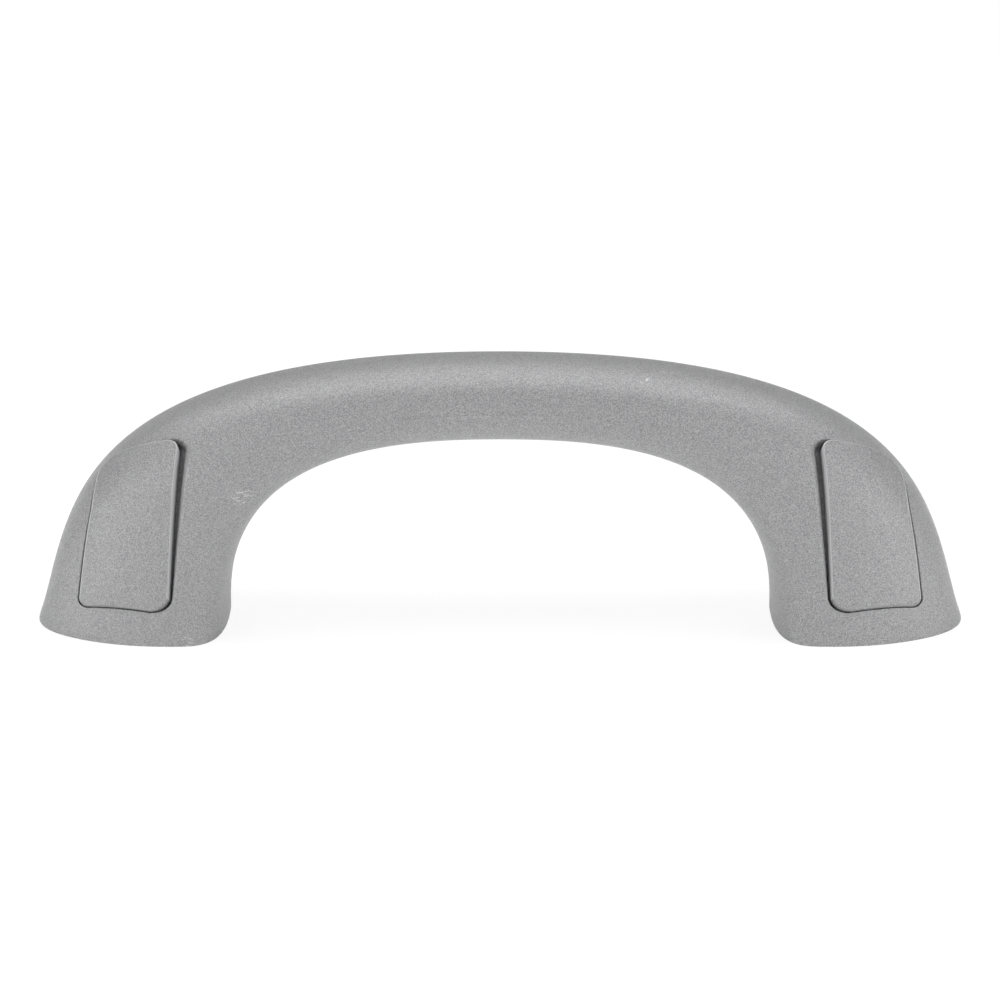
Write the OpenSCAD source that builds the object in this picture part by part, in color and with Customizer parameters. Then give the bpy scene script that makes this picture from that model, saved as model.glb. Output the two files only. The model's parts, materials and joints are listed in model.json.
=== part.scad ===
// Roof grab handle: one moulded arch on two feet, with a flip cover over each fixing screw.
// X runs along the handle, -Y faces the cabin and Z rises from the mounting face to the grip.
// The origin is the midpoint between the two fixing holes, on the mounting face.

/* [Arch] */
// Overall length over the two feet
length = 230; // [220:1:250]
// Height of the grip's top above the mounting face
height = 67.9; // [65:0.1:76]
// Clear width between the feet
hand_width = 135; // [128:1:140]
// Clear height under the grip
hand_height = 48.6; // [44:0.1:50]
// How far the foot's outer side leans inward, in degrees
outer_lean = 21; // [15:1:26]
// Length of the straight start of the outer curve
outer_rise = 26; // [20:1:32]
// Reach of the outer curve's flat top towards the foot
outer_reach = 108.9; // [98:0.1:112]
// Length of the straight start of the inner curve
inner_rise = 51.5; // [40:0.5:56]
// Reach of the inner curve's flat top towards the foot
inner_reach = 19.1; // [14:0.1:30]

/* [Section] */
// Half the grip's depth, front to back
grip_half = 12; // [11:0.5:14]
// Foot in front of the grip's centre plane
foot_front = 19.5; // [18.5:0.5:22]
// Foot behind the grip's centre plane
foot_back = 14; // [12:0.5:20]
// Distance from the screw line back to the grip's centre plane
grip_setback = 10.2; // [9.8:0.1:10.6]
// Squareness of the foot's outer front corner
foot_corner_out = 3; // [2.4:0.1:3.6]
// Squareness of the foot's inner front corner
foot_corner_in = 2.5; // [2.2:0.1:3]
// Squareness of the grip's section
grip_corner = 2.37; // [2.1:0.01:2.8]
// Shift of the foot's crest towards the hand gap
crest_shift = 0.48; // [0.3:0.01:0.55]

/* [Screw cover] */
// Wall thickness of the cover
cover_wall = 1.8; // [1.4:0.1:2.2]
// How far the cover stands proud at its foot
cover_proud = 0.4; // [0.2:0.1:0.6]
// How much further it stands proud at its top
cover_lift = 0.7; // [0:0.1:1]
// Depth of the rim below the cover's wall
rim_depth = 1.3; // [0.8:0.1:1.6]
// Thickness of the rim
rim_wall = 1.1; // [0.8:0.1:1.3]
// Seam between the cover and the body
seam = 0.35; // [0.25:0.05:0.5]
// Extra width of the finger gap at the top inner corner
finger_gap = 2.3; // [1.5:0.1:2.8]
// Angle at which the pocket runs down behind the cover, in degrees
draw_angle = 50; // [46:1:54]
// Thickness of the ribs on the cover's inner face
cover_rib = 1.2; // [0.8:0.1:1.4]

/* [Hinge] */
// Height of the hinge axis above the mounting face
hinge_z = 14.9; // [14.5:0.1:15.3]
// Distance from the crest of the leg back to the hinge axis
hinge_inset = 5.5; // [5.3:0.1:5.8]
// Turn of the hinge axis in plan, in degrees
hinge_yaw = 10.9; // [9:0.1:12]
// Radius of the trunnions
pin_r = 1.1; // [0.9:0.05:1.2]
// Radial clearance of the trunnions in their ears
pin_clearance = 0.06; // [0.04:0.01:0.09]
// Wall of the hinge arm round its trunnion
arm_eye = 1; // [0.8:0.1:1.1]
// Thickness of the cover's hinge arms
arm_wall = 1.5; // [1.2:0.1:1.7]
// Distance of the arm's inner face from the cover's side
arm_inset = 2.6; // [2.3:0.1:3]
// Length of each trunnion in the pocket's side wall
pin_seat = 1.5; // [1.2:0.1:1.7]
// Room round the cover's lower edge as it swings back
swing_gap = 0.45; // [0.35:0.05:0.5]
// Skin left in front of that room
swing_skin = 1.6; // [1.4:0.1:1.8]

/* [Fixing] */
// Bore of the sleeve, for an M6 screw
screw_bore = 6.6; // [5.5:0.1:7]
// Outside diameter of the sleeve
sleeve_d = 10; // [9:0.5:11]
// Radial clearance of the sleeve in its boss
sleeve_clearance = 0.03; // [0.02:0.01:0.08]
// Height of the sleeve above the pocket floor
sleeve_proud = 0.1; // [0:0.05:0.2]
// Height of the pocket floor above the mounting face
floor_z = 6; // [5.5:0.1:6.4]
// Wall of the boss round the sleeve
boss_wall = 2.5; // [2:0.1:3]

/* [Underside] */
// Thickness of the foot's outer walls
foot_wall = 3; // [2.5:0.1:3.5]
// Height of the cored space behind the pocket
core_height = 26; // [18:1:28]
// Thickness of the ribs under the foot
rib_wall = 1.8; // [1.4:0.1:2.2]
// Wall between the pocket and the cored space
pocket_wall = 2.2; // [1.9:0.1:2.6]
// Spacing of the ribs under the foot
rib_pitch = 11; // [10:0.5:13]

/* [Hidden] */

half_rings = 28;
ring_points = 36;
hidden_points = 24;
round_fn = 48;
flare = 1.6;
corner_fade = 1.55;
crest_fade = 2.27;
back_squareness = 0.4;

leg_x = (length + hand_width) / 4;
leg_half = (length - hand_width) / 4;
past = length / 4;
over = 1;

cover_top_q = 48.2;
cover_shoulder_q = 44.6;
cover_waist_q = 25;
cover_foot_q = -5.6;
cover_in_top = -0.581 * leg_half;
cover_in_foot = -0.48 * leg_half;
cover_out_top = 0.32 * leg_half;
cover_out_mid = 0.345 * leg_half;
cover_out_foot = 0.48 * leg_half;
corner_r = 3;
heel_r = 2.5;
waist_r = 20;
shoulder_r = 8;
inner_seam = 0.4;
ledge_width = 1.3;
ledge_gap = 0.3;
ledge_depth = cover_wall - cover_proud + rim_depth + ledge_gap;
prism_back = 24;
prism_front = 60;
cover_reach = 10;
rim_start = 3;
cover_ribs_z = [17, 30];

arm_r = pin_r + arm_eye;
arm_neck = 0.85 * arm_r;
arm_offset = cover_out_foot - arm_inset;
arm_reach = hinge_inset - 2.3;
root_z = 11;
pocket_half = cover_out_foot + swing_gap;
pocket_back = sleeve_d / 2 + 1.6;
swing_r = hinge_z - floor_z - 0.5;
swing_top = 2.6;
end_gap = 0.25;

// Arch curves, from the foot (t = 0) to the middle of the grip (t = 1), as x and z on the right half
function cubic(a, b, c, d, t) =
    pow(1 - t, 3) * a + 3 * pow(1 - t, 2) * t * b + 3 * (1 - t) * t * t * c + pow(t, 3) * d;
function outer_at(t) = cubic(
    [length / 2, 0],
    [length / 2 - outer_rise * sin(outer_lean), outer_rise * cos(outer_lean)],
    [outer_reach, height],
    [0, height], t);
function inner_at(t) = cubic(
    [hand_width / 2, 0],
    [hand_width / 2, inner_rise],
    [inner_reach, hand_height],
    [0, hand_height], t);
function middle_at(t) = (outer_at(t) + inner_at(t)) / 2;
function t_at_height(z, low = 0, high = 1, steps = 24) = steps == 0
    ? (low + high) / 2
    : let (mid = (low + high) / 2)
      middle_at(mid).y < z
          ? t_at_height(z, mid, high, steps - 1)
          : t_at_height(z, low, mid, steps - 1);

// Section of the arch at t: a squared oval whose front crest leans towards the hand gap at the foot
function front_depth(t) = grip_half + (foot_front - grip_half) * pow(1 - t, flare);
function back_depth(t) = grip_half + (foot_back - grip_half) * pow(1 - t, flare);
function signed_pow(v, p) = sign(v) * pow(abs(v), p);
function section(t, grow, side, points = ring_points) = let (
    middle = middle_at(t),
    across = (outer_at(t) - inner_at(t)) / 2,
    half = norm(across),
    dir = across / half,
    fade = pow(1 - t, corner_fade),
    n_out = grip_corner + (foot_corner_out - grip_corner) * fade,
    n_in = grip_corner + (foot_corner_in - grip_corner) * fade,
    n_back = grip_corner + back_squareness,
    lean = -crest_shift * pow(1 - t, crest_fade)
) [
    for (k = [0:points - 1])
        let (
            angle = 360 * k / points,
            in_front = sin(angle) >= 0,
            n = in_front ? (cos(angle) > 0 ? n_out : n_in) : n_back,
            plain = signed_pow(cos(angle), 2 / n),
            shift = in_front ? lean : 0,
            s = (plain + shift) / (1 + shift * plain) * (half + grow),
            depth = pow(abs(sin(angle)), 2 / n),
            y = in_front ? -(front_depth(t) + grow) * depth : (back_depth(t) + grow) * depth
        )
        [side * (middle.x + dir.x * s), y + grip_setback, middle.y + dir.y * s]
];

// Closed skin through a row of rings
module skin(rings) {
    n = len(rings[0]);
    last = len(rings) - 1;
    polyhedron(
        points = [for (ring = rings) each ring],
        faces = [
            [for (k = [0:n - 1]) n - 1 - k],
            for (r = [0:last - 1], k = [0:n - 1])
                let (a = r * n + k, b = r * n + (k + 1) % n)
                each [[a, b + n, a + n], [a, b, b + n]],
            [for (k = [0:n - 1]) last * n + k]
        ]);
}

module arch() {
    steps = [for (i = [0:half_rings]) pow(i / half_rings, 0.75)];
    skin([
        for (i = [0:half_rings]) section(steps[i], 0, 1),
        for (i = [half_rings - 1:-1:0]) section(steps[i], 0, -1)
    ]);
}

// Right leg alone, grown or shrunk, from height parameter t0 to t1; lift adds growth towards the top
module leg(grow, t0, t1, rings, lift = 0, points = hidden_points) {
    skin([
        for (i = [0:rings])
            let (part = i / rings, t = t0 + (t1 - t0) * part)
            section(t, grow + lift * part, 1, points)
    ]);
}

// Polygon with rounded corners: each corner is [x, y, radius]
function rounded(corners, arc_steps = 6) = let (n = len(corners)) [
    for (i = [0:n - 1])
        let (
            p = [corners[i].x, corners[i].y],
            r = corners[i].z,
            before = [corners[(i + n - 1) % n].x, corners[(i + n - 1) % n].y],
            after = [corners[(i + 1) % n].x, corners[(i + 1) % n].y],
            u = (before - p) / norm(before - p),
            v = (after - p) / norm(after - p),
            half_angle = acos(u * v) / 2,
            bisector = (u + v) / norm(u + v),
            centre = p + bisector * r / sin(half_angle),
            start = p + u * r / tan(half_angle) - centre,
            finish = p + v * r / tan(half_angle) - centre,
            turn = atan2(start.x * finish.y - start.y * finish.x, start * finish)
        )
        for (k = [0:arc_steps])
            let (a = turn * k / arc_steps)
            centre + [start.x * cos(a) - start.y * sin(a), start.x * sin(a) + start.y * cos(a)]
];

// Frame of the right hinge: X along the axis to the outside, Y to the back, Z up
hinge_y = grip_setback - front_depth(t_at_height(hinge_z)) + hinge_inset;
face_y = -hinge_inset + 0.65;
module at_hinge() {
    translate([leg_x, hinge_y, hinge_z]) rotate([0, 0, hinge_yaw]) children();
}

// Outline of the cover as [along the axis, up the face, radius], grown all round and more at the inner side
function cover_outline(grow, inner_foot = 0, inner_top = 0) = rounded([
    [cover_in_foot - grow - inner_foot, cover_foot_q - grow, corner_r + grow],
    [cover_out_foot + grow, cover_foot_q - grow, heel_r + grow],
    [cover_out_mid + grow, cover_waist_q, waist_r],
    [cover_out_top + grow, cover_shoulder_q + grow, shoulder_r + grow],
    [cover_in_top - grow - inner_top, cover_top_q + grow, corner_r + grow]
]);

// Slanted prism of the cover's outline, running down and back at the draw angle
module cover_prism(grow, inner_foot = 0, inner_top = 0) {
    flat = [
        for (p = cover_outline(grow, inner_foot, inner_top))
            [p.x, p.y * cos(draw_angle) + face_y * sin(draw_angle)]
    ];
    at_hinge() rotate([90 - draw_angle, 0, 0]) translate([0, 0, -prism_back])
        linear_extrude(height = prism_back + prism_front) polygon(flat);
}

// Room in front of a plane behind the cover, so that the prism ends inside the leg
module cover_zone(extra) {
    at_hinge() translate([-past, -past, -past]) cube([2 * past, past + cover_reach + extra, 3 * past]);
}

// Space behind the right cover: its seat, the screw pocket and the room for its lower edge to swing back
module cover_seat() {
    difference() {
        intersection() {
            cover_prism(seam, inner_seam, finger_gap);
            cover_zone(over);
        }
        leg(-ledge_depth, -0.02, 0.84, 12);
    }
}
module screw_pocket() {
    intersection() {
        cover_prism(-ledge_width);
        at_hinge() translate([-pocket_half, -past, floor_z - hinge_z])
            cube([2 * pocket_half, past - hinge_y + pocket_back, past]);
    }
}
module swing_room() {
    intersection() {
        leg(-swing_skin, -0.03, 0.5, 8);
        at_hinge() intersection() {
            axle(swing_r, -pocket_half, pocket_half);
            translate([-past, -past, swing_top - 2 * past]) cube(2 * past);
        }
    }
}

// Cylinder along the hinge axis, between two places on it
module axle(r, from, to) {
    rotate([0, 90, 0]) translate([0, 0, from]) cylinder(r = r, h = to - from, $fn = round_fn);
}

// Space cored out of the right foot from below, with the pocket's walls, the boss and the ribs left standing
module foot_core() {
    boss_r = sleeve_d / 2 + boss_wall;
    difference() {
        intersection() {
            leg(-foot_wall, -0.02, 0.6, 9);
            translate([hand_width / 2 + foot_wall, -past, -over]) cube([past, 2 * past, core_height + over]);
        }
        at_hinge() translate([-pocket_half - pocket_wall, -past, floor_z - hinge_z - pocket_wall])
            cube([2 * (pocket_half + pocket_wall), past - hinge_y + pocket_back + pocket_wall, past]);
        translate([leg_x, 0, -2 * over]) cylinder(r = boss_r, h = floor_z + 2 * over, $fn = round_fn);
        for (dx = [-rib_pitch, 0, rib_pitch])
            translate([leg_x + dx - rib_wall / 2, -past, -2 * over]) cube([rib_wall, 2 * past, past]);
        translate([leg_x - past, -rib_wall / 2, -2 * over]) cube([2 * past, rib_wall, past]);
    }
}

module body_half_cuts() {
    cover_seat();
    screw_pocket();
    swing_room();
    foot_core();
    translate([leg_x, 0, -over])
        cylinder(r = sleeve_d / 2 + sleeve_clearance, h = floor_z + 2 * over, $fn = round_fn);
    at_hinge() for (side = [0, 1])
        mirror([side, 0, 0])
            axle(pin_r + pin_clearance, pocket_half - swing_gap, pocket_half + pin_seat + end_gap);
}

module handle_body() {
    color([0.60, 0.60, 0.60]) difference() {
        arch();
        body_half_cuts();
        mirror([1, 0, 0]) body_half_cuts();
    }
}

// Where the cover's inner face keeps material: ribs across and along it, and the roots of the arms
module cover_ribs() {
    at_hinge() {
        translate([-cover_rib / 2, -past, rim_start]) cube([cover_rib, 2 * past, 2 * past]);
        for (z = cover_ribs_z)
            translate([-past, -past, z]) cube([2 * past, 2 * past, cover_rib]);
        for (side = [0, 1])
            mirror([side, 0, 0])
                translate([arm_offset, -past, -arm_neck]) cube([arm_wall, 2 * past, arm_neck + root_z]);
    }
}

// Cover shell with its rim and ribs, cut to the outline
module cover_shell() {
    difference() {
        intersection() {
            leg(cover_proud, 0.01, 0.8, 14, cover_lift, ring_points);
            cover_prism(0);
            cover_zone(0);
        }
        intersection() {
            leg(cover_proud - cover_wall, -0.01, 0.82, 12);
            difference() {
                union() {
                    cover_prism(-rim_wall);
                    at_hinge() translate([-past, -past, rim_start - 2 * past]) cube(2 * past);
                }
                cover_ribs();
            }
        }
        leg(cover_proud - cover_wall - rim_depth, -0.02, 0.84, 12);
    }
}

// Hinge arm of the right cover on its outer side, ending in a trunnion that points outward
module cover_arm() {
    axle(arm_r, arm_offset, arm_offset + arm_wall);
    translate([arm_offset, -arm_reach, -arm_neck]) cube([arm_wall, arm_reach, 2 * arm_neck]);
    axle(pin_r, arm_offset + arm_wall / 2, pocket_half + pin_seat);
}

module right_cover() {
    union() {
        cover_shell();
        at_hinge() for (side = [0, 1])
            mirror([side, 0, 0]) cover_arm();
    }
}
module right_screw_cover() {
    color([0.63, 0.63, 0.63]) right_cover();
}
module left_screw_cover() {
    color([0.63, 0.63, 0.63]) mirror([1, 0, 0]) right_cover();
}

// Compression sleeve in the boss, flush with the mounting face
module sleeve(side) {
    color([0.75, 0.75, 0.77]) translate([side * leg_x, 0, 0]) difference() {
        cylinder(d = sleeve_d, h = floor_z + sleeve_proud, $fn = round_fn);
        translate([0, 0, -over]) cylinder(d = screw_bore, h = floor_z + 3 * over, $fn = round_fn);
    }
}
module left_fixing_sleeve() {
    sleeve(-1);
}
module right_fixing_sleeve() {
    sleeve(1);
}

handle_body();
left_screw_cover();
right_screw_cover();
left_fixing_sleeve();
right_fixing_sleeve();
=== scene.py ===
"""Roof grab handle in moulded, grained plastic, with a flip cover over each fixing screw.

The outer skin follows the same arch and section rules as the solids, at a finer pitch and with softened rims.
"""
import json
import math

import bmesh
import bpy
import numpy as np
from mathutils import Matrix, Vector
from mathutils.geometry import delaunay_2d_cdt


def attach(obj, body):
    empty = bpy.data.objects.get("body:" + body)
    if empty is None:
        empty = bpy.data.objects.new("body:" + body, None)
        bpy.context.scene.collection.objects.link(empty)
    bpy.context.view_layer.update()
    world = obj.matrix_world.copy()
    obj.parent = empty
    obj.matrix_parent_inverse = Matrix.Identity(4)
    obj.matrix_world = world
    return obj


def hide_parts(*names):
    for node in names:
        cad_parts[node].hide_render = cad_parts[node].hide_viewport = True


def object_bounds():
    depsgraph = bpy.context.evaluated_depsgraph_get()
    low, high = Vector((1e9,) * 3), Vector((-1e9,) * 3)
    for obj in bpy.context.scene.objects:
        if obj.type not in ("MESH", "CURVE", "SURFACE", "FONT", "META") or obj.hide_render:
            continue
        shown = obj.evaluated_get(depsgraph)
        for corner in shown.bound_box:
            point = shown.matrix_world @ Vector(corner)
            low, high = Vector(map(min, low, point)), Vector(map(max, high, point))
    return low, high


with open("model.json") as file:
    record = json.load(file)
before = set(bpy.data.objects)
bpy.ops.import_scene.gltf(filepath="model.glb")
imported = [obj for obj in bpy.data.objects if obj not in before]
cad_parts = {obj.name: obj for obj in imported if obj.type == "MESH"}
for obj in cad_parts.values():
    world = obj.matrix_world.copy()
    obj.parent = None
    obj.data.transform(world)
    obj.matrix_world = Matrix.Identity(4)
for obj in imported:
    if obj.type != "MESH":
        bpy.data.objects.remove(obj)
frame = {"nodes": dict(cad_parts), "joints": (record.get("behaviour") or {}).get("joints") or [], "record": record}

bl_info = {
    "name": "Roof grab handle",
    "version": (1, 0, 0),
    "blender": (4, 5, 0),
    "location": "3D View > Sidebar > Grab handle",
    "description": "Builds a moulded roof grab handle with its screw covers and a plain studio",
    "category": "Object",
}

CAD_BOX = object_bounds()
MM = 0.001
SIDES = ("left", "right")
HANDLE_BODY = "handle"

HINGES = {joint["child"]: joint for joint in frame["joints"]}
FIXING = next(m for m in frame["record"]["mounts"] if m["name"] == "fixing_holes")
LEG_X = FIXING["dims"]["spacing_x_mm"] / 2
HINGE_Y = HINGES["right_cover"]["pos_m"][1] / MM
HINGE_Z = HINGES["right_cover"]["pos_m"][2] / MM
HINGE_YAW = math.atan2(HINGES["right_cover"]["axis"][1], HINGES["right_cover"]["axis"][0])
LENGTH = (CAD_BOX[1][0] - CAD_BOX[0][0]) / MM
HEIGHT = CAD_BOX[1][2] / MM


class HandleSizes(bpy.types.PropertyGroup):
    """Sizes of the moulded arch and its feet, in millimetres"""

    hand_height: bpy.props.FloatProperty(
        name="Hand height", description="Clear height under the grip", default=48.6)
    outer_lean: bpy.props.FloatProperty(
        name="Outer lean", description="Inward lean of the foot's outer side, in degrees", default=21.0)
    outer_rise: bpy.props.FloatProperty(
        name="Outer rise", description="Straight start of the outer curve", default=26.0)
    outer_reach: bpy.props.FloatProperty(
        name="Outer reach", description="Reach of the outer curve's flat top", default=108.9)
    inner_rise: bpy.props.FloatProperty(
        name="Inner rise", description="Straight start of the inner curve", default=51.5)
    inner_reach: bpy.props.FloatProperty(
        name="Inner reach", description="Reach of the inner curve's flat top", default=19.1)
    grip_half: bpy.props.FloatProperty(
        name="Grip half depth", description="Half the grip's depth, front to back", default=12.0)
    foot_front: bpy.props.FloatProperty(
        name="Foot front", description="Foot in front of the grip's centre plane", default=19.5)
    foot_back: bpy.props.FloatProperty(
        name="Foot back", description="Foot behind the grip's centre plane", default=14.0)
    grip_setback: bpy.props.FloatProperty(
        name="Grip setback", description="From the screw line back to the grip's centre plane", default=10.2)
    rim_radius: bpy.props.FloatProperty(
        name="Rim radius", description="Softened edge round the pocket's mouth", default=0.35)
    flash_height: bpy.props.FloatProperty(
        name="Parting line height", description="Height of the line left by the mould's halves", default=0.12)


class CoverSizes(bpy.types.PropertyGroup):
    """Sizes of the flip covers and their pockets, in millimetres"""

    wall: bpy.props.FloatProperty(
        name="Wall", description="Wall thickness of the cover", default=1.8)
    proud: bpy.props.FloatProperty(
        name="Proud", description="How far the cover stands proud at its foot", default=0.4)
    lift: bpy.props.FloatProperty(
        name="Lift", description="How much further it stands proud at its top", default=0.7)
    rim_wall: bpy.props.FloatProperty(
        name="Rim wall", description="Thickness of the rim behind the cover", default=1.1)
    rim_depth: bpy.props.FloatProperty(
        name="Rim depth", description="Depth of the rim below the cover's wall", default=1.3)
    seam: bpy.props.FloatProperty(
        name="Seam", description="Gap between the cover and the body", default=0.35)
    finger_gap: bpy.props.FloatProperty(
        name="Finger gap", description="Extra gap at the top inner corner", default=2.3)
    edge_radius: bpy.props.FloatProperty(
        name="Edge radius", description="Softened outer edge of the cover", default=0.45)


class FinishColours(bpy.types.PropertyGroup):
    """Colours of the finishes, as sRGB hex values"""

    # The pits' darker grey is painted shade in the hollows of the grain
    plastic: bpy.props.StringProperty(
        name="Plastic, pits", description="Grey of the plastic in the pits of its grain", default="7A7A7B")
    # The tips' paler grey is partly rubbed wear and partly a painted highlight on the grain's crests
    plastic_tips_worn_and_highlit: bpy.props.StringProperty(
        name="Plastic, tips", description="Paler grey on the rubbed tips of the grain", default="A6A6A7")
    scuff: bpy.props.StringProperty(
        name="Plastic, scuffed", description="Pale grey of the small scuffs", default="D2D2D3")
    # The edge's pale grey is a painted highlight along the covers' rounded edge, which is left without grain
    edge: bpy.props.StringProperty(
        name="Plastic, edge", description="Pale grey of the covers' polished edge", default="B4B4B5")
    steel: bpy.props.StringProperty(
        name="Steel", description="Bright zinc plating of the sleeves", default="C6C8CA")
    floor: bpy.props.StringProperty(
        name="Floor", description="Pale studio floor", default="FFFFFF")


# Fixed proportions of the section, the same as in the solids
FLARE = 1.6
CORNER_OUT = 3.0
CORNER_IN = 2.5
CORNER_GRIP = 2.37
CORNER_BACK = 2.77
CORNER_FADE = 1.55
CREST_SHIFT = 0.48
CREST_FADE = 2.27
INNER_FOOT_X = 67.5
DRAW_ANGLE = math.radians(50)
FACE_Y = -4.85

# Corners of the cover on its face: along the hinge, up, radius. The second table says how each grows
COVER_CORNERS = (
    (-11.4, -5.6, 6.0),
    (11.4, -5.6, 2.5),
    (8.2, 25.0, 20.0),
    (7.6, 44.6, 8.0),
    (-13.8, 48.2, 3.0),
)
COVER_GROWTH = ((-1, -1, 1), (1, -1, 1), (1, 0, 0), (1, 1, 1), (-1, 1, 1))

# Fixed sizes of the hidden forms, in millimetres
PAST = 57.5
PIN_R = 1.1
PIN_CLEARANCE = 0.06
PIN_SEAT = 1.5
PIN_PAST = 0.25
ARM_R = 2.1
ARM_NECK = 0.85 * ARM_R
ARM_WALL = 1.5
ARM_OFFSET = 8.8
ARM_REACH = 3.2
ARM_ROOT = 11.0
COVER_RIB = 1.2
COVER_RIB_SINK = 0.3
COVER_RIBS_Z = (17.0, 30.0)
RIM_START = 3.0
SWING_GAP = 0.45
SWING_SKIN = 1.6
SWING_TOP = 2.6
SWING_EASE = 0.4
SIDE_EASE = 0.25
FLOOR_Z = 6.0
SWING_ABOVE = 0.5
SWING_R = HINGE_Z - FLOOR_Z - SWING_ABOVE
POCKET_HALF = 11.85
POCKET_BACK = 6.6
LEDGE_INSET = 1.3
LEDGE_DROP = 0.3
COVER_REACH = 10.0
FOOT_WALL = 3.0
CORE_HEIGHT = 26.0
RIB_WALL = 1.8
RIB_PITCH = 11.0
POCKET_WALL = 2.2
SLEEVE_R = 5.0
SLEEVE_CLEARANCE = 0.03
BOSS_R = 7.5

# How far a cutter passes what it cuts, and how far the slanted prism runs outward and inward
OVERSHOOT = 1.0
PRISM_OUT = 60.0
PRISM_IN = 30.0

# Where the skins of the hidden forms start and end, as t; the ends lie outside what they cut
CORE_SPAN = (-0.02, 0.6)
ROOM_SPAN = (-0.03, 0.5)
RIBS_SPAN = (0.01, 0.8)
UNDER_SPAN = (0.0, 0.82)

# Pitch of the fine skin
HALF_RINGS = 110
RING_POWER = 0.75
RING_POINTS = 160
OUTLINE_STEP = 0.45
PANEL_PITCH = 1.2
PANEL_CLEAR = 0.5
MERGE = 0.0005
SHARP_ANGLE = 32.0

# The patch of skin round a mouth: mm for one unit of t and of angle, its margin in rows, and its clearance
PATCH_SCALE = (110.0, 15.0)
PATCH_BEFORE = 3
PATCH_AFTER = 2
PATCH_CLEAR = 0.25

# Search for the skin under a point of the face
SEEDS = 60
SEED_T = (0.03, 0.72)
SEED_DEGREES = (1.0, 130.0)
SEARCH_STEPS = 14
PROBE = 1e-5
LEAST_AREA = 1e-6
MOST_T = 0.05
MOST_ANGLE = 0.1
T_LIMITS = (0.001, 0.9)
ANGLE_LIMITS = (0.001, 2.6)

# Parting line: degrees to each side of the front, where it starts, and over what length it rises, as t
FLASH_STEPS = (-0.9, -0.45, 0.0, 0.45, 0.9)
FLASH_START = 0.36
FLASH_FADE = 0.06

# Softened rims and edges, in shares of their radius, and the rings on the plain skin beyond the rim, in mm
RIM_STEPS = (0.0, 0.05, 0.15, 0.3, 0.5, 0.72, 1.0)
RIM_BEYOND = (0.25, 0.6)
EDGE_STEPS = (0.0, 0.08, 0.24, 0.48, 0.74, 1.0, 1.6)
EDGE_PLAIN = 0.7
EDGE_TOP = 1.1
EDGE_OUTER = 0.7
EDGE_BLEND = 5

# The finger gap's scoop, in shares of the gap's extra width, and the extra seam at the cover's inner foot
SCOOP_IN = 0.5
SCOOP_WIDE = 0.75
SCOOP_DEEP = 0.9
SCOOP_POWER = 1.6
INNER_SEAM = 0.4

# Which faces of the cover's edge get the painted highlight: not its foot, only the front, and most of the edge's
# radius
HIGHLIGHT_ABOVE = -0.3
HIGHLIGHT_FRONT = 0.2
HIGHLIGHT_SHARE = 0.9

# Grain of the plastic: noise per metre, depth in metres, and how narrow the step from pit to tip is
GRAIN_SCALE = 3500.0
GRAIN_TWIST = 0.6
GRAIN_DEPTH = 0.00015
GRAIN_STEP = 0.15
SHEEN_SCALE = 160.0

# Small scuffs left by use: the middle of each patch and its reach, in millimetres
SCUFFS = (
    ((34.3, 3.7, 65.1), 1.6),
    ((40.0, 8.1, 65.4), 1.8),
    ((-61.8, -4.4, 38.1), 3.2),
    ((-76.2, -8.9, 1.4), 2.0),
)
SCUFF_TURN = 0.6
SCUFF_SCALE = (900.0, 900.0, 3200.0)
SCUFF_FROM = 0.58
SCUFF_FULL = 0.66

# Studio, in metres: each lamp's azimuth and elevation in degrees, and its power in watts
FLOOR_HALF = 3.0
FLOOR_SHARE = 0.85
FLOOR_GLOW = 1.05
WHITE = (1, 1, 1, 1)
LAMPS = {
    "front_left": (-40, 0, 1.7),
    "front_right": (40, 0, 1.7),
    "side_left": (-55, 0, 6.0),
    "side_right": (55, 0, 6.0),
    "top_left": (-90, 65, 4.6),
    "top_right": (90, 65, 4.6),
    "rim": (180, 60, 3.0),
}
LAMP_SIZE = 0.45
LAMP_AWAY = 1.0
LAMP_TARGET = (0, 0.01, 0.03)
CAMERA_LENS = 102.45
CAMERA_SENSOR = 36.0
CAMERA_SHIFT = (-0.0002, 0.0018)
CAMERA_ELEVATION = 25
CAMERA_AWAY = 0.7
CAMERA_TARGET_Z = 0.03


def props():
    """Sizes and colours as the sidebar holds them"""
    scene = bpy.context.scene
    return scene.handle_sizes, scene.cover_sizes, scene.finish_colours


def linear(hex_colour):
    """sRGB hex value as linear RGBA"""
    parts = [int(hex_colour[i:i + 2], 16) / 255 for i in (0, 2, 4)]
    return [p / 12.92 if p <= 0.04045 else ((p + 0.055) / 1.055) ** 2.4 for p in parts] + [1.0]


def cubic(a, b, c, d, t):
    """Point of a cubic curve at each t"""
    a, b, c, d = (np.array(p, float) for p in (a, b, c, d))
    t = np.asarray(t, float)[..., None]
    return (1 - t) ** 3 * a + 3 * (1 - t) ** 2 * t * b + 3 * (1 - t) * t * t * c + t ** 3 * d


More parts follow.
